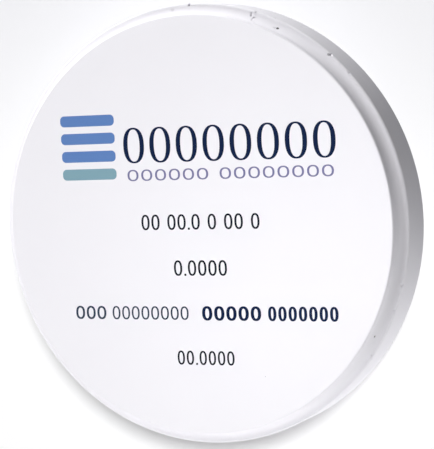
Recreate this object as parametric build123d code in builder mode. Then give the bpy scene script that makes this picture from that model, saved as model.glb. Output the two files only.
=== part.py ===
"""Dental milling disc: a round blank of pressed ceramic with a stepped rim.

The disc lies on its plain face, with the face that carries the print upwards. The origin is the centre
of the plain face and +Z is the disc's own axis. All sizes are in millimetres.
"""

import os

from build123d import *

os.makedirs("parts", exist_ok=True)

# Driving dimensions
disc_diameter = 98.5  # outside of the collar, the size that a milling machine's holder takes
disc_thickness = 18.0  # plain face to printed face
neck_diameter = 93.5  # above and below the collar
front_step = 3.0  # printed face down to the collar's upper shoulder
collar_thickness = 10.0  # shoulder to shoulder, what the holder's ring clamps
cove_radius = 1.9  # hollow curve that blends each neck into its shoulder
collar_chamfer = 0.5  # both outer corners of the collar
face_chamfer = 0.4  # both faces, at the rim

# Radii and heights of the half section
disc_radius = disc_diameter / 2
neck_radius = neck_diameter / 2
upper_shoulder = disc_thickness - front_step
lower_shoulder = upper_shoulder - collar_thickness

with BuildPart() as milling_disc:
    with BuildSketch(Plane.XZ) as half_section:
        with BuildLine():
            Polyline(
                (0, 0),
                (neck_radius, 0),
                (neck_radius, lower_shoulder),
                (disc_radius, lower_shoulder),
                (disc_radius, upper_shoulder),
                (neck_radius, upper_shoulder),
                (neck_radius, disc_thickness),
                (0, disc_thickness),
                close=True,
            )
        make_face()

        # The collar's corners are the section's outermost points
        collar_corners = half_section.vertices().group_by(Axis.X)[-1]
        chamfer(collar_corners, length=collar_chamfer)

        # Of the four points on the neck's radius, the middle two are where it meets the shoulders
        neck_points = half_section.vertices().filter_by_position(Axis.X, neck_radius, neck_radius)
        cove_corners = neck_points.sort_by(Axis.Y)[1:3]
        fillet(cove_corners, radius=cove_radius)

        # Each face ends in its outermost point
        lower_edge = half_section.vertices().group_by(Axis.Y)[0].sort_by(Axis.X)[-1]
        upper_edge = half_section.vertices().group_by(Axis.Y)[-1].sort_by(Axis.X)[-1]
        chamfer([lower_edge, upper_edge], length=face_chamfer)
    revolve(axis=Axis.Z)

milling_disc.part.label = "milling_disc"
export_step(milling_disc.part, "parts/milling_disc.step")
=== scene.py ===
"""Dresses the dental milling disc: chalky pressed ceramic, a chipped rim and plain generic print."""

from math import cos, pi, radians, sin
from typing import NamedTuple

import bmesh
import bpy
from bpy.props import FloatProperty, FloatVectorProperty, IntProperty, PointerProperty
from mathutils import Matrix, Vector, noise
from mathutils.geometry import delaunay_2d_cdt


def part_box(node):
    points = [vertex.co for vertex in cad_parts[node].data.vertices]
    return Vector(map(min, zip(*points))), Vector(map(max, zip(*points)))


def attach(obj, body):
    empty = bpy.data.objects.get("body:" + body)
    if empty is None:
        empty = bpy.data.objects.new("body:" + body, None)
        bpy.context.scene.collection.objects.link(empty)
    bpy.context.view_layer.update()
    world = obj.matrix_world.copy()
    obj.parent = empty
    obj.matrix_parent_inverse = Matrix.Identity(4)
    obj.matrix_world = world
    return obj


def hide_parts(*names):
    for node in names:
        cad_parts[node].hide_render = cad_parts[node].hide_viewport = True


bl_info = {
    "name": "Milling Disc",
    "version": (1, 0, 0),
    "blender": (4, 5, 0),
    "location": "3D View > Sidebar > Milling Disc",
    "description": "Makes a dental milling disc with its rim, chips and print, and a plain stage for it",
    "category": "Add Mesh",
}

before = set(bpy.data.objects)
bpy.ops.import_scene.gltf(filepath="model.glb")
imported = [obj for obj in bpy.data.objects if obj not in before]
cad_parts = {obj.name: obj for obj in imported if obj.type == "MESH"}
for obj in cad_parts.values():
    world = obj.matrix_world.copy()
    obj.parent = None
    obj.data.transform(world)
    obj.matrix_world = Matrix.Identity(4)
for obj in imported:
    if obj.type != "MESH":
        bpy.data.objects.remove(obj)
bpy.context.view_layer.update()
NODE = "milling_disc"
LOWEST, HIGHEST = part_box(NODE)
MM = 0.001


def colour_property(name, description, default):
    """A colour that is set in the sidebar."""
    return FloatVectorProperty(
        name=name, description=description, default=default, subtype="COLOR", size=3, min=0.0, max=1.0
    )


def length_property(name, description, default):
    """A length in metres that is set in the sidebar."""
    return FloatProperty(
        name=name, description=description, default=default, min=0.0, precision=5, subtype="DISTANCE", unit="LENGTH"
    )


class DiscSizes(bpy.types.PropertyGroup):
    """Sizes of the disc and its stepped rim."""

    diameter: length_property("Diameter", "Outside of the collar", HIGHEST[0] - LOWEST[0])
    thickness: length_property("Thickness", "Plain face to printed face", HIGHEST[2] - LOWEST[2])
    neck_diameter: length_property("Neck", "Diameter above and below the collar", 93.5 * MM)
    front_step: length_property("Front step", "Printed face down to the collar's shoulder", 3.0 * MM)
    collar_thickness: length_property("Collar", "Shoulder to shoulder", 10.0 * MM)
    cove_radius: length_property("Cove", "Hollow curve from the neck to the shoulder", 1.9 * MM)
    collar_rounding: length_property("Collar edges", "Rounding of the collar's two corners", 0.5 * MM)
    face_rounding: length_property("Face edges", "Rounding of both faces at the rim", 0.4 * MM)
    steps_around: IntProperty(name="Steps around", description="Facets around the rim", default=720, min=48)


class CeramicFinish(bpy.types.PropertyGroup):
    """Colour and surface of the unfired ceramic."""

    colour: colour_property("Ceramic", "Pressed ceramic powder", (0.862, 0.85, 0.89))
    shade: colour_property("Mottle", "Slightly denser patches of the powder", (0.84, 0.828, 0.87))
    # Dark lining of the deepest pits: partly dirt, partly painted shade where the pits' walls lie in shadow
    dirt_and_shade: colour_property("Dirt and shade", "What has settled in the deepest pits", (0.2, 0.18, 0.19))
    roughness: FloatProperty(
        name="Roughness", description="How dull the ceramic is", default=0.78, min=0.0, max=1.0, subtype="FACTOR"
    )
    grain: length_property("Grain", "Size of the powder's grain", 0.22 * MM)
    turning_pitch: length_property("Turning pitch", "Distance between turning marks on the rim", 0.5 * MM)


class PrintInks(bpy.types.PropertyGroup):
    """Inks of the print on the face."""

    navy: colour_property("Navy", "Large noughts and the bold row", (0.001, 0.009, 0.047))
    midnight: colour_property("Midnight", "Small noughts", (0.003, 0.004, 0.014))
    slate: colour_property("Slate", "Row of fine noughts", (0.02, 0.035, 0.07))
    blue: colour_property("Blue", "Upper stripes", (0.11, 0.215, 0.49))
    teal: colour_property("Teal", "Lowest stripe", (0.21, 0.36, 0.43))
    violet: colour_property("Violet", "Row of noughts under the large ones", (0.17, 0.165, 0.32))


class StageLook(bpy.types.PropertyGroup):
    """Floor, lamps and camera."""

    floor: colour_property("Floor", "Floor as the camera sees it", (0.985, 0.985, 0.99))
    # Painted shade: the floor beyond the top of the print is greyer, as if less light fell there
    shaded_far_floor: colour_property("Far floor", "Floor beyond the top of the print", (0.862, 0.862, 0.886))
    dim_floor: colour_property("Dim floor", "Floor as the rim sees it, except before the foot", (0.16, 0.16, 0.17))
    floor_lift: FloatProperty(
        name="Floor lift", description="Share of the floor's own tone that its shadows keep", default=0.34,
        min=0.0, max=1.0, subtype="FACTOR"
    )
    floor_light: FloatProperty(
        name="Floor light", description="Even light on the floor alone, which casts the disc's shadow", default=3.64
    )
    floor_light_spread: FloatProperty(
        name="Floor light spread", description="How soft the disc's shadow is", default=radians(18), unit="ROTATION"
    )
    overhead_power: FloatProperty(
        name="Overhead lamp", description="Lamp close over the lower right of the face", default=0.029, unit="POWER"
    )
    gridded_power: FloatProperty(
        name="Gridded lamp", description="Narrow lamp from the left on the right of the face", default=0.0065,
        unit="POWER"
    )
    back_power: FloatProperty(
        name="Back lamp", description="Low lamp beyond the top of the print", default=2.35, unit="POWER"
    )
    floor_back_power: FloatProperty(
        name="Floor lamp", description="Small lamp near the floor beyond the top of the print", default=0.45,
        unit="POWER"
    )
    back_left_power: FloatProperty(
        name="Back left lamp", description="Lamp beyond the print's top left", default=2.6, unit="POWER"
    )
    front_left_power: FloatProperty(
        name="Front left lamp", description="Lamp over the print's lower left", default=2.8, unit="POWER"
    )
    front_power: FloatProperty(
        name="Front lamp", description="Low lamp before the foot of the print", default=1.35, unit="POWER"
    )
    camera_distance: length_property("Camera distance", "From the disc's middle to the camera", 425.4 * MM)
    camera_azimuth: FloatProperty(
        name="Azimuth", description="Camera's bearing from +X towards +Y", default=radians(10.17), unit="ROTATION"
    )
    camera_elevation: FloatProperty(
        name="Elevation", description="Camera's height above the floor", default=radians(64.82), unit="ROTATION"
    )
    camera_roll: FloatProperty(
        name="Roll", description="Turn about the line of sight", default=radians(-2.79), unit="ROTATION"
    )
    lens: FloatProperty(name="Lens", description="Focal length", default=151.1, unit="CAMERA")


class MillingDisc(bpy.types.PropertyGroup):
    """Everything that the operators read."""

    sizes: PointerProperty(type=DiscSizes)
    ceramic: PointerProperty(type=CeramicFinish)
    inks: PointerProperty(type=PrintInks)
    stage: PointerProperty(type=StageLook)


class Chip(NamedTuple):
    """A chip or pit in the rim. Angles are in degrees and lengths in millimetres.

    lean is how far the surface there faces up: 0 on a wall, 45 on a corner and 90 on the shoulder. tilt sinks the
    end with the larger angle deeper, which leaves a flake scar.
    """

    angle: float
    radius: float
    height: float
    lean: float
    along: float
    across: float
    depth: float
    turn: float = 0.0
    tilt: float = 0.0
    # Lines the cutter with the dark pit colour: partly dirt, partly painted shade
    dirty_and_shaded: bool = False


CHIPS = (
    Chip(angle=94.8, radius=47.95, height=15.1, lean=75, along=0.9, across=0.7, depth=0.06),
    Chip(angle=89.7, radius=49.15, height=14.3, lean=28, along=0.7, across=3.0, depth=0.3, turn=-8),
    Chip(angle=71.7, radius=48.2, height=15.05, lean=80, along=0.7, across=1.5, depth=0.12, turn=20),
    Chip(angle=70.9, radius=47.5, height=15.4, lean=50, along=0.6, across=1.3, depth=0.12, turn=-15),
    Chip(angle=70.85, radius=49.0, height=14.85, lean=45, along=0.5, across=0.7, depth=0.15),
    Chip(angle=70.4, radius=46.65, height=17.85, lean=45, along=0.6, across=0.45, depth=0.14),
    Chip(angle=69.8, radius=46.8, height=16.4, lean=10, along=0.5, across=0.6, depth=0.1),
    Chip(angle=65.4, radius=49.15, height=14.65, lean=30, along=0.5, across=0.5, depth=0.14),
    Chip(angle=64.05, radius=47.3, height=15.6, lean=50, along=0.9, across=0.8, depth=0.12),
    Chip(angle=63.46, radius=47.5, height=15.4, lean=55, along=0.62, across=0.45, depth=0.3, dirty_and_shaded=True),
    Chip(angle=60.0, radius=49.25, height=9.2, lean=0, along=0.6, across=0.5, depth=0.1),
    # Small dark pit: painted shade for the shadowed wall of the flake scar beside it
    Chip(angle=48.2, radius=48.75, height=15.0, lean=75, along=0.2, across=0.55, depth=0.25, turn=40, dirty_and_shaded=True),
    Chip(angle=47.5, radius=49.1, height=14.9, lean=50, along=1.3, across=1.0, depth=0.3, tilt=45),
    Chip(angle=40.9, radius=49.0, height=14.85, lean=45, along=0.8, across=0.7, depth=0.1),
    Chip(angle=-16.0, radius=48.85, height=14.95, lean=60, along=1.0, across=0.75, depth=0.12),
    Chip(angle=-18.2, radius=48.7, height=15.0, lean=80, along=0.6, across=0.6, depth=0.08),
    Chip(angle=-22.7, radius=48.9, height=14.95, lean=60, along=0.6, across=0.5, depth=0.16),
    Chip(angle=-31.2, radius=47.4, height=15.45, lean=50, along=0.5, across=0.25, depth=0.2, dirty_and_shaded=True),
    Chip(angle=-33.1, radius=47.5, height=15.4, lean=55, along=0.45, across=0.4, depth=0.08),
    Chip(angle=-32.7, radius=46.68, height=17.8, lean=45, along=0.6, across=0.4, depth=0.1),
    Chip(angle=-35.9, radius=48.85, height=14.95, lean=60, along=0.8, across=0.6, depth=0.14),
    Chip(angle=-36.9, radius=49.2, height=14.4, lean=20, along=0.5, across=0.9, depth=0.14, turn=30),
)


class Softbox(NamedTuple):
    """A square soft lamp on the disc, in metres and radians.

    One without an aim points at the disc's middle. A spread below pi stands for a grid over the lamp.
    """

    name: str
    place: tuple
    size: float
    aim: tuple = None
    spread: float = pi


SOFTBOXES = (
    Softbox("overhead", (0.037, -0.021, 0.12), 0.045, aim=(0.037, -0.021, 0.0)),
    Softbox("gridded", (-0.3, -0.15, 0.27), 0.1, aim=(0.06, 0.0, 0.018), spread=radians(16)),
    Softbox("back", (-0.1, 0.555, 0.205), 0.35),
    Softbox("floor_back", (-0.17, 0.465, 0.07), 0.12),
    Softbox("back_left", (-0.433, 0.433, 0.523), 0.4),
    Softbox("front_left", (-0.405, -0.405, 0.4), 0.3),
    Softbox("front", (0.33, -0.43, 0.095), 0.2),
)
FLOOR_LIGHT_PLACE = (0.45, 0.38, 1.0)  # only its bearing counts
CENTRE_OF_VIEW = (1.54 * MM, -0.46 * MM)  # the point on X and Y in the middle of the picture


def new_material(name):
    """An empty node material and its tree."""
    material = bpy.data.materials.new(name)
    material.use_nodes = True
    material.node_tree.nodes.clear()
    return material, material.node_tree


def rim_coordinates(tree, pitch):
    """Coordinates for marks around the rim, and the object position that they are made from.

    They are the distance from the axis and the height, both in turning pitches.
    """
    position = tree.nodes.new("ShaderNodeTexCoord")
    split = tree.nodes.new("ShaderNodeSeparateXYZ")
    tree.links.new(position.outputs["Object"], split.inputs["Vector"])
    flat = tree.nodes.new("ShaderNodeCombineXYZ")
    tree.links.new(split.outputs["X"], flat.inputs["X"])
    tree.links.new(split.outputs["Y"], flat.inputs["Y"])
    radius = tree.nodes.new("ShaderNodeVectorMath")
    radius.operation = "LENGTH"
    tree.links.new(flat.outputs["Vector"], radius.inputs[0])
    around = tree.nodes.new("ShaderNodeCombineXYZ")
    tree.links.new(radius.outputs["Value"], around.inputs["X"])
    tree.links.new(split.outputs["Z"], around.inputs["Z"])
    scaled = tree.nodes.new("ShaderNodeVectorMath")
    scaled.operation = "SCALE"
    tree.links.new(around.outputs["Vector"], scaled.inputs[0])
    scaled.inputs["Scale"].default_value = 1.0 / pitch
    return scaled.outputs["Vector"], position.outputs["Object"]


def on_the_rim(tree):
    """A bump strength that is full on upright walls and nothing on the two flat faces."""
    full = 0.35
    surface = tree.nodes.new("ShaderNodeTexCoord")
    split = tree.nodes.new("ShaderNodeSeparateXYZ")
    tree.links.new(surface.outputs["Normal"], split.inputs["Vector"])
    upward = tree.nodes.new("ShaderNodeMath")
    upward.operation = "ABSOLUTE"
    tree.links.new(split.outputs["Z"], upward.inputs[0])
    strength = tree.nodes.new("ShaderNodeMath")
    strength.operation = "MULTIPLY_ADD"
    tree.links.new(upward.outputs["Value"], strength.inputs[0])
    strength.inputs[1].default_value = -full
    strength.inputs[2].default_value = full
    return strength.outputs["Value"]


def powder_bump(tree, finish):
    """The normal of the pressed powder, with fine turning marks on the rim, and the object position."""
    turning_depth, grain_depth, grain_strength = 0.02 * MM, 0.012 * MM, 0.35
    around, place = rim_coordinates(tree, finish.turning_pitch)
    turning = tree.nodes.new("ShaderNodeTexNoise")
    turning.inputs["Scale"].default_value = 1.0
    turning.inputs["Detail"].default_value = 2.0
    tree.links.new(around, turning.inputs["Vector"])
    turned = tree.nodes.new("ShaderNodeBump")
    turned.inputs["Distance"].default_value = turning_depth
    tree.links.new(turning.outputs["Fac"], turned.inputs["Height"])
    tree.links.new(on_the_rim(tree), turned.inputs["Strength"])
    grain = tree.nodes.new("ShaderNodeTexNoise")
    grain.inputs["Scale"].default_value = 1.0 / finish.grain
    grain.inputs["Detail"].default_value = 4.0
    grain.inputs["Roughness"].default_value = 0.6
    tree.links.new(place, grain.inputs["Vector"])
    grained = tree.nodes.new("ShaderNodeBump")
    grained.inputs["Strength"].default_value = grain_strength
    grained.inputs["Distance"].default_value = grain_depth
    tree.links.new(grain.outputs["Fac"], grained.inputs["Height"])
    tree.links.new(turned.outputs["Normal"], grained.inputs["Normal"])
    return grained.outputs["Normal"], place


def mottled(tree, place, light, dark, size):
    """A colour that drifts between two close shades over patches of the given size."""
    patches = tree.nodes.new("ShaderNodeTexNoise")
    patches.inputs["Scale"].default_value = 1.0 / size
    patches.inputs["Detail"].default_value = 3.0
    tree.links.new(place, patches.inputs["Vector"])
    blend = tree.nodes.new("ShaderNodeMix")
    blend.data_type = "RGBA"
    blend.inputs["A"].default_value = (*light, 1.0)
    blend.inputs["B"].default_value = (*dark, 1.0)
    tree.links.new(patches.outputs["Fac"], blend.inputs["Factor"])
    return blend.outputs["Result"]


def ceramic_material(name, finish, light, dark, roughness, patch_size, specular=0.18):
    """Unglazed ceramic, bare or inked: dull, faintly grained and slightly mottled."""
    material, tree = new_material(name)
    normal, place = powder_bump(tree, finish)
    shader = tree.nodes.new("ShaderNodeBsdfPrincipled")
    shader.inputs["Roughness"].default_value = roughness
    shader.inputs["Specular IOR Level"].default_value = specular
    tree.links.new(mottled(tree, place, light, dark, patch_size), shader.inputs["Base Color"])
    tree.links.new(normal, shader.inputs["Normal"])
    output = tree.nodes.new("ShaderNodeOutputMaterial")
    tree.links.new(shader.outputs["BSDF"], output.inputs["Surface"])
    return material


def ink_material(name, finish, ink):
    """Ink soaked into the ceramic, a little uneven where the powder took less of it."""
    bare = 0.01
    thin = [channel + bare * (1.0 - channel) for channel in ink]
    return ceramic_material(name, finish, ink, thin, roughness=0.85, patch_size=0.6 * MM, specular=0.06)


def arc(centre, radius, start, end, steps):
    """Points on an arc in the section's plane, from start to end in degrees, both included."""
    angles = [radians(start + (end - start) * step / steps) for step in range(steps + 1)]
    return [(centre[0] + radius * cos(angle), centre[1] + radius * sin(angle)) for angle in angles]


def rim_section(sizes):
    """The rim's section as (radius, height) points, from the plain face up to the printed face."""
    neck = sizes.neck_diameter / 2
    outside = sizes.diameter / 2
    top = sizes.thickness
    upper = top - sizes.front_step
    lower = upper - sizes.collar_thickness
    face, corner, cove = sizes.face_rounding, sizes.collar_rounding, sizes.cove_radius
    edge_steps, cove_steps = 6, 14
    return [
        *arc((neck - face, face), face, -90, 0, edge_steps),
        *arc((neck + cove, lower - cove), cove, 180, 90, cove_steps),
        *arc((outside - corner, lower + corner), corner, -90, 0, edge_steps),
        *arc((outside - corner, upper - corner), corner, 0, 90, edge_steps),
        *arc((neck + cove, upper + cove), cove, 270, 180, cove_steps),
        *arc((neck - face, top - face), face, 0, 90, edge_steps),
    ]


def turned_mesh(name, section, steps_around):
    """A closed mesh turned about Z from a section, with one face at each end."""
    work = bmesh.new()
    angles = [2 * pi * step / steps_around for step in range(steps_around)]
    rings = []
    for radius, height in section:
        rings.append([work.verts.new((radius * cos(angle), radius * sin(angle), height)) for angle in angles])
    for below, above in zip(rings, rings[1:]):
        for step in range(steps_around):
            after = (step + 1) % steps_around
            side = work.faces.new((below[step], below[after], above[after], above[step]))
            side.smooth = True
    work.faces.new(reversed(rings[0]))
    work.faces.new(rings[-1])
    mesh = bpy.data.meshes.new(name)
    work.to_mesh(mesh)
    work.free()
    return mesh


def chip_placement(chip):
    """Matrix that puts a unit ball on the rim as the chip's cutter."""
    angle, lean = radians(chip.angle), radians(chip.lean)
    outward = Vector((cos(angle), sin(angle), 0.0))
    along = Vector((-sin(angle), cos(angle), 0.0))
    facing = cos(lean) * outward + sin(lean) * Vector((0.0, 0.0, 1.0))
    axes = Matrix((along, facing.cross(along), facing)).transposed().to_4x4()
    place = Matrix.Translation((outward * chip.radius + Vector((0.0, 0.0, chip.height))) * MM)
    turn = Matrix.Rotation(radians(chip.turn), 4, "Z") @ Matrix.Rotation(radians(chip.tilt), 4, "Y")
    half_sizes = Vector((chip.along / 2, chip.across / 2, chip.depth)) * MM
    return place @ axes @ turn @ Matrix.Diagonal((*half_sizes, 1.0))


def chip_cutters(name, chips, ceramic, dirt_and_shade):
    """One object that holds a rough lump for every chip."""
    roughness, fine_share = 0.42, 0.45
    coarse_pitch, fine_pitch, seed_step = 1.6, 4.3, 7.0
    work = bmesh.new()
    for number, chip in enumerate(chips):
        made = bmesh.ops.create_icosphere(work, subdivisions=4, radius=1.0)["verts"]
        for vert in made:
            seed = Vector((seed_step * number, 3.0, 1.0))
            coarse, fine = noise.noise(vert.co * coarse_pitch + seed), noise.noise(vert.co * fine_pitch + seed)
            vert.co *= 1.0 + roughness * (coarse + fine_share * fine)
        bmesh.ops.transform(work, matrix=chip_placement(chip), verts=made)
        for face in {face for vert in made for face in vert.link_faces}:
            # The deepest pits get the dark colour: partly dirt, partly painted shade
            face.material_index = 1 if chip.dirty_and_shaded else 0
            face.smooth = True
    mesh = bpy.data.meshes.new(name)
    work.to_mesh(mesh)
    work.free()
    mesh.materials.append(ceramic)
    mesh.materials.append(dirt_and_shade)
    cutters = bpy.data.objects.new(name, mesh)
    bpy.context.scene.collection.objects.link(cutters)
    return cutters


def cut_away(body, cutters):
    """Takes the cutters out of the body's mesh, deletes them and keeps the chips' edges sharp."""
    sharp_from = radians(38)
    cut = body.modifiers.new("chips", "BOOLEAN")
    cut.operation = "DIFFERENCE"
    cut.solver = "EXACT"
    cut.use_self = True
    cut.material_mode = "TRANSFER"
    cut.object = cutters
    shaped = body.evaluated_get(bpy.context.evaluated_depsgraph_get())
    mesh = bpy.data.meshes.new_from_object(shaped)
    body.modifiers.remove(cut)
    old = body.data
    mesh.name = old.name
    body.data = mesh
    bpy.data.meshes.remove(old)
    bpy.data.meshes.remove(cutters.data)
    mesh.set_sharp_from_angle(angle=sharp_from)


class Shape(NamedTuple):
    """A printed shape: its outline and holes in millimetres on the face, and the slot of its ink."""

    ink: str
    outline: list
    holes: tuple = ()


def oval(centre_x, centre_y, width, height, steps=40):
    """Outline of an upright oval with slightly flattened sides."""
    squareness = 0.86
    points = []
    for step in range(steps):
        angle = 2 * pi * step / steps
        across, up = cos(angle), sin(angle)
        across = abs(across) ** squareness * (1 if across > 0 else -1)
        up = abs(up) ** squareness * (1 if up > 0 else -1)
        points.append((centre_x + across * width / 2, centre_y + up * height / 2))
    return points


def rounded_bar(left, right, bottom, top, rounding, steps=6):
    """Outline of a bar with rounded corners."""
    return [
        *arc((right - rounding, bottom + rounding), rounding, -90, 0, steps),
        *arc((right - rounding, top - rounding), rounding, 0, 90, steps),
        *arc((left + rounding, top - rounding), rounding, 90, 180, steps),
        *arc((left + rounding, bottom + rounding), rounding, 180, 270, steps),
    ]


class Noughts(NamedTuple):
    """A centred row of plain noughts: 0 is a nought, a full stop is a dot and a space is a gap."""

    pattern: str
    centre_x: float
    baseline: float
    height: float
    width: float
    side: float
    cap: float
    ink: str
    gap: float = 0.45


ROWS = (
    Noughts("00000000", 9.0, 14.3, 8.0, 5.2, side=1.1, cap=0.4, ink="navy", gap=1.35),
    Noughts("000000 00000000", 9.0, 10.3, 2.55, 2.75, side=0.5, cap=0.3, ink="violet", gap=0.7),
    Noughts("00 00.0 0 00 0", 1.5, -0.8, 3.5, 2.05, side=0.5, cap=0.42, ink="midnight"),
    Noughts("0.0000", 1.1, -11.1, 3.5, 2.05, side=0.5, cap=0.42, ink="midnight"),
    Noughts("000", -27.0, -21.0, 3.05, 2.3, side=0.54, cap=0.42, ink="slate"),
    Noughts("00000000", -11.9, -21.0, 3.05, 2.0, side=0.42, cap=0.34, ink="slate"),
    Noughts("00000", 8.15, -21.1, 3.25, 2.5, side=0.78, cap=0.54, ink="navy"),
    Noughts("0000000", 25.2, -21.1, 3.25, 1.97, side=0.7, cap=0.5, ink="navy"),
    Noughts("00.0000", 1.4, -31.1, 3.2, 1.8, side=0.46, cap=0.4, ink="midnight"),
)


def row_shapes(row):
    """The shapes of one row of noughts."""
    advances = {"0": row.width + row.gap, ".": row.side + row.gap, " ": row.width * 0.5 + row.gap}
    cursor = row.centre_x - sum(advances[sign] for sign in row.pattern) / 2
    shapes = []
    for sign in row.pattern:
        middle = cursor + advances[sign] / 2
        if sign == "0":
            centre = row.baseline + row.height / 2
            hole = oval(middle, centre, row.width - 2 * row.side, row.height - 2 * row.cap)
            shapes.append(Shape(row.ink, oval(middle, centre, row.width, row.height), (hole,)))
        elif sign == ".":
            left, right = middle - row.side / 2, middle + row.side / 2
            dot = rounded_bar(left, right, row.baseline, row.baseline + row.side, row.side / 4, 2)
            shapes.append(Shape(row.ink, dot))
        cursor += advances[sign]
    return shapes


def stripes():
    """Four rounded stripes beside the large noughts, the lowest of them teal."""
    left, right, bottom = -32.4, -18.6, 10.8
    thickness, pitch = 2.5, 4.05
    rounding = thickness * 0.4
    shapes = []
    for step, ink in enumerate(("teal", "blue", "blue", "blue")):
        base = bottom + step * pitch
        shapes.append(Shape(ink, rounded_bar(left, right, base, base + thickness, rounding)))
    return shapes


def print_on_face(mesh, height, shapes, slots):
    """Cuts the printed face along the shapes' outlines and gives the faces inside them their ink."""
    work = bmesh.new()
    work.from_mesh(mesh)
    work.normal_update()
    largest = max((face for face in work.faces if face.normal.z > 0.5), key=lambda face: face.calc_area())
    rim = list(largest.verts)
    work.faces.remove(largest)
    places = [Vector((vert.co.x, vert.co.y)) for vert in rim]
    outlines = [list(range(len(rim)))]
    inks = [None]
    for shape in shapes:
        for loop, ink in ((shape.outline, shape.ink), *((hole, None) for hole in shape.holes)):
            first = len(places)
            places += [Vector(point) * MM for point in loop]
            outlines.append(list(range(first, len(places))))
            inks.append(ink)
    inside_only, same_point = 1, 1e-9
    points, _, pieces, came_from, _, covers = delaunay_2d_cdt(places, [], outlines, inside_only, same_point)
    verts = []
    for point, sources in zip(points, came_from):
        kept = [source for source in sources if source < len(rim)]
        verts.append(rim[kept[0]] if kept else work.verts.new((point.x, point.y, height)))
    for piece, covering in zip(pieces, covers):
        face = work.faces.new([verts[index] for index in piece])
        face.material_index = slots[inks[max(covering)]]
    work.to_mesh(mesh)
    work.free()


class MILLING_DISC_OT_turn_body(bpy.types.Operator):
    """Turn the disc's body with its stepped rim"""

    bl_idname = "milling_disc.turn_body"
    bl_label = "Turn the Body"

    def execute(self, context):
        disc = context.scene.milling_disc
        finish = disc.ceramic
        mesh = turned_mesh("disc_body", rim_section(disc.sizes), disc.sizes.steps_around)
        mesh.materials.append(
            ceramic_material(
                "pressed_ceramic", finish, finish.colour, finish.shade, finish.roughness, patch_size=14 * MM
            )
        )
        body = bpy.data.objects.new("disc_body", mesh)
        context.scene.collection.objects.link(body)
        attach(body, "root")
        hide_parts(NODE)
        return {"FINISHED"}


class MILLING_DISC_OT_chip_rim(bpy.types.Operator):
    """Chip and pit the rim where handling has marked it"""

    bl_idname = "milling_disc.chip_rim"
    bl_label = "Chip the Rim"

    def execute(self, context):
        finish = context.scene.milling_disc.ceramic
        body = bpy.data.objects["disc_body"]
        ceramic = body.data.materials[0]
        # Dark lining for the deepest pits: partly dirt, partly painted shade
        dirt_and_shade = ceramic_material("pit_dirt", finish, finish.dirt_and_shade, finish.dirt_and_shade, roughness=0.9, patch_size=1 * MM)
        cut_away(body, chip_cutters("chip_cutters", CHIPS, ceramic, dirt_and_shade))
        return {"FINISHED"}


class MILLING_DISC_OT_print_face(bpy.types.Operator):
    """Print the face with plain stripes and noughts"""

    bl_idname = "milling_disc.print_face"
    bl_label = "Print the Face"

    def execute(self, context):
        disc = context.scene.milling_disc
        mesh = bpy.data.objects["disc_body"].data
        slots = {None: 0}
        for ink in ("navy", "midnight", "slate", "blue", "teal", "violet"):
            slots[ink] = len(mesh.materials)
            mesh.materials.append(ink_material(ink + "_ink", disc.ceramic, getattr(disc.inks, ink)))
        stray_dot = Shape("slate", oval(15.6, -33.4, width=0.13, height=0.13, steps=8))
        shapes = [*stripes(), *(shape for row in ROWS for shape in row_shapes(row)), stray_dot]
        print_on_face(mesh, disc.sizes.thickness, shapes, slots)
        return {"FINISHED"}


def add_lamp(data, place, target, lights):
    """A lamp at a place, aimed at a target, in metres. Its light falls on the objects of one collection alone."""
    lamp = bpy.data.objects.new(data.name, data)
    lamp.location = place
    lamp.rotation_mode = "QUATERNION"
    lamp.rotation_quaternion = (Vector(target) - Vector(place)).to_track_quat("-Z", "Y")
    lamp.visible_camera = False
    lamp.light_linking.receiver_collection = lights
    bpy.context.scene.collection.objects.link(lamp)


def add_softbox(box, look, target, lights):
    """One of the softboxes, at the power that the stage's settings give it."""
    data = bpy.data.lights.new(box.name + "_softbox", "AREA")
    data.shape = "SQUARE"
    data.size = box.size
    data.spread = box.spread
    data.energy = getattr(look, box.name + "_power")
    add_lamp(data, box.place, target, lights)


def add_floor_light(look, target, lights):
    """Even light from one side, spread enough to leave a soft shadow."""
    data = bpy.data.lights.new("floor_light", "SUN")
    data.energy = look.floor_light
    data.angle = look.floor_light_spread
    add_lamp(data, FLOOR_LIGHT_PLACE, target, lights)


def lit_group(name, piece):
    """A collection that tells lamps which object they light."""
    group = bpy.data.collections.new(name)
    group.objects.link(piece)
    return group


def seen_directly(tree):
    """1 where a ray comes straight from the camera, a reflection or a pane, and 0 where it only lights something."""
    path = tree.nodes.new("ShaderNodeLightPath")
    seen = path.outputs["Is Camera Ray"]
    for ray in ("Is Glossy Ray", "Is Transmission Ray"):
        larger = tree.nodes.new("ShaderNodeMath")
        larger.operation = "MAXIMUM"
        tree.links.new(seen, larger.inputs[0])
        tree.links.new(path.outputs[ray], larger.inputs[1])
        seen = larger.outputs["Value"]
    return seen


def blend_along_y(tree, stops):
    """A colour that passes smoothly through (place on Y in metres, colour) stops."""
    first, last = stops[0][0], stops[-1][0]
    place = tree.nodes.new("ShaderNodeTexCoord")
    split = tree.nodes.new("ShaderNodeSeparateXYZ")
    tree.links.new(place.outputs["Object"], split.inputs["Vector"])
    span = tree.nodes.new("ShaderNodeMapRange")
    span.inputs["From Min"].default_value = first
    span.inputs["From Max"].default_value = last
    tree.links.new(split.outputs["Y"], span.inputs["Value"])
    blend = tree.nodes.new("ShaderNodeValToRGB")
    blend.color_ramp.interpolation = "EASE"
    for number, (along, colour) in enumerate(stops):
        position = (along - first) / (last - first)
        stop = blend.color_ramp.elements[number] if number < 2 else blend.color_ramp.elements.new(position)
        stop.position = position
        stop.color = (*colour, 1.0)
    tree.links.new(span.outputs["Result"], blend.inputs["Fac"])
    return blend.outputs["Color"]


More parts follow.
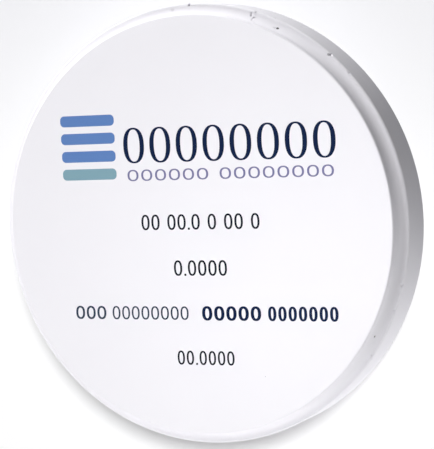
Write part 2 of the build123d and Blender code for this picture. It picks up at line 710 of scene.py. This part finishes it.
def floor_material(look):
    """Matte floor that looks pale, with painted shade beyond the top of the print, keeps the disc's shadow and
    throws little light up beside the disc and more before its foot.
    """
    # Places on Y where the floor's tones begin and end, the painted shade beyond the top of the print among them
    pale_until, far_from, far_until, pale_from = -0.015, 0.06, 0.25, 0.9
    bright_until, dim_from = -0.045, -0.005
    material, tree = new_material("pale_floor")
    seen = seen_directly(tree)
    # Painted shade: a greyer band of floor beyond the top of the print
    far = ((far_from, look.shaded_far_floor), (far_until, look.shaded_far_floor))
    tone = blend_along_y(tree, ((pale_until, look.floor), *far, (pale_from, look.floor)))
    thrown = blend_along_y(tree, ((bright_until, look.floor), (dim_from, look.dim_floor)))
    blend = tree.nodes.new("ShaderNodeMix")
    blend.data_type = "RGBA"
    tree.links.new(thrown, blend.inputs["A"])
    tree.links.new(tone, blend.inputs["B"])
    tree.links.new(seen, blend.inputs["Factor"])
    lit = tree.nodes.new("ShaderNodeBsdfDiffuse")
    tree.links.new(blend.outputs["Result"], lit.inputs["Color"])
    own_tone = tree.nodes.new("ShaderNodeEmission")
    tree.links.new(tone, own_tone.inputs["Color"])
    share = tree.nodes.new("ShaderNodeMath")
    share.operation = "MULTIPLY"
    tree.links.new(seen, share.inputs[0])
    share.inputs[1].default_value = look.floor_lift
    surface = tree.nodes.new("ShaderNodeMixShader")
    tree.links.new(share.outputs["Value"], surface.inputs["Fac"])
    tree.links.new(lit.outputs["BSDF"], surface.inputs[1])
    tree.links.new(own_tone.outputs["Emission"], surface.inputs[2])
    output = tree.nodes.new("ShaderNodeOutputMaterial")
    tree.links.new(surface.outputs["Shader"], output.inputs["Surface"])
    return material


def add_room(look):
    """A world that looks as pale as the floor and adds no light of its own."""
    world = bpy.data.worlds.new("room")
    world.use_nodes = True
    background = world.node_tree.nodes["Background"]
    background.inputs["Color"].default_value = (*look.floor, 1.0)
    world.node_tree.links.new(seen_directly(world.node_tree), background.inputs["Strength"])
    bpy.context.scene.world = world


def add_floor(look):
    """A large plain floor under the disc."""
    half = 1.5
    mesh = bpy.data.meshes.new("floor")
    corners = [(-half, -half, 0.0), (half, -half, 0.0), (half, half, 0.0), (-half, half, 0.0)]
    mesh.from_pydata(corners, [], [(0, 1, 2, 3)])
    mesh.materials.append(floor_material(look))
    floor = bpy.data.objects.new("floor", mesh)
    bpy.context.scene.collection.objects.link(floor)
    return floor


def add_camera(look, target):
    """Camera over the disc's right, turned so that the top of the print is up."""
    azimuth, elevation = look.camera_azimuth, look.camera_elevation
    back = Vector((cos(azimuth) * cos(elevation), sin(azimuth) * cos(elevation), sin(elevation)))
    right = Vector((0.0, 1.0, 0.0)).cross(back).normalized()
    axes = Matrix((right, back.cross(right), back)).transposed()
    data = bpy.data.cameras.new("camera")
    data.lens = look.lens
    data.sensor_width = 36.0
    camera = bpy.data.objects.new("camera", data)
    camera.location = Vector(target) + look.camera_distance * back
    camera.rotation_mode = "QUATERNION"
    camera.rotation_quaternion = (axes @ Matrix.Rotation(look.camera_roll, 3, "Z")).to_quaternion()
    bpy.context.scene.collection.objects.link(camera)
    bpy.context.scene.camera = camera


class MILLING_DISC_OT_set_stage(bpy.types.Operator):
    """Set the floor, the lamps and the camera"""

    bl_idname = "milling_disc.set_stage"
    bl_label = "Set the Stage"

    def execute(self, context):
        scene = context.scene
        look = scene.milling_disc.stage
        middle = (0.0, 0.0, scene.milling_disc.sizes.thickness / 2)
        floor = lit_group("lit_floor", add_floor(look))
        disc = lit_group("lit_disc", bpy.data.objects["disc_body"])
        add_room(look)
        add_floor_light(look, middle, floor)
        for box in SOFTBOXES:
            add_softbox(box, look, box.aim or middle, disc)
        scene.view_settings.view_transform = "Standard"
        add_camera(look, (*CENTRE_OF_VIEW, middle[2]))
        return {"FINISHED"}


class MILLING_DISC_PT_panel(bpy.types.Panel):
    """Sizes, colours and the steps that make the disc"""

    bl_label = "Milling Disc"
    bl_space_type = "VIEW_3D"
    bl_region_type = "UI"
    bl_category = "Milling Disc"

    def draw(self, context):
        disc = context.scene.milling_disc
        groups = (("Disc", disc.sizes), ("Ceramic", disc.ceramic), ("Inks", disc.inks), ("Stage", disc.stage))
        for title, group in groups:
            box = self.layout.box()
            box.label(text=title)
            for name in group.bl_rna.properties.keys():
                if name not in ("rna_type", "name"):
                    box.prop(group, name)
        for operator in OPERATORS:
            self.layout.operator(operator.bl_idname)


OPERATORS = (
    MILLING_DISC_OT_turn_body,
    MILLING_DISC_OT_chip_rim,
    MILLING_DISC_OT_print_face,
    MILLING_DISC_OT_set_stage,
)
CLASSES = (
    DiscSizes,
    CeramicFinish,
    PrintInks,
    StageLook,
    MillingDisc,
    *OPERATORS,
    MILLING_DISC_PT_panel,
)


def register():
    """Adds the classes and the scene's settings."""
    for cls in CLASSES:
        bpy.utils.register_class(cls)
    bpy.types.Scene.milling_disc = PointerProperty(type=MillingDisc)


def unregister():
    """Takes them away again."""
    del bpy.types.Scene.milling_disc
    for cls in reversed(CLASSES):
        bpy.utils.unregister_class(cls)


def main():
    """Makes the disc and its stage."""
    register()
    bpy.ops.milling_disc.turn_body()
    bpy.ops.milling_disc.chip_rim()
    bpy.ops.milling_disc.print_face()
    bpy.ops.milling_disc.set_stage()


if __name__ == "__main__":
    main()
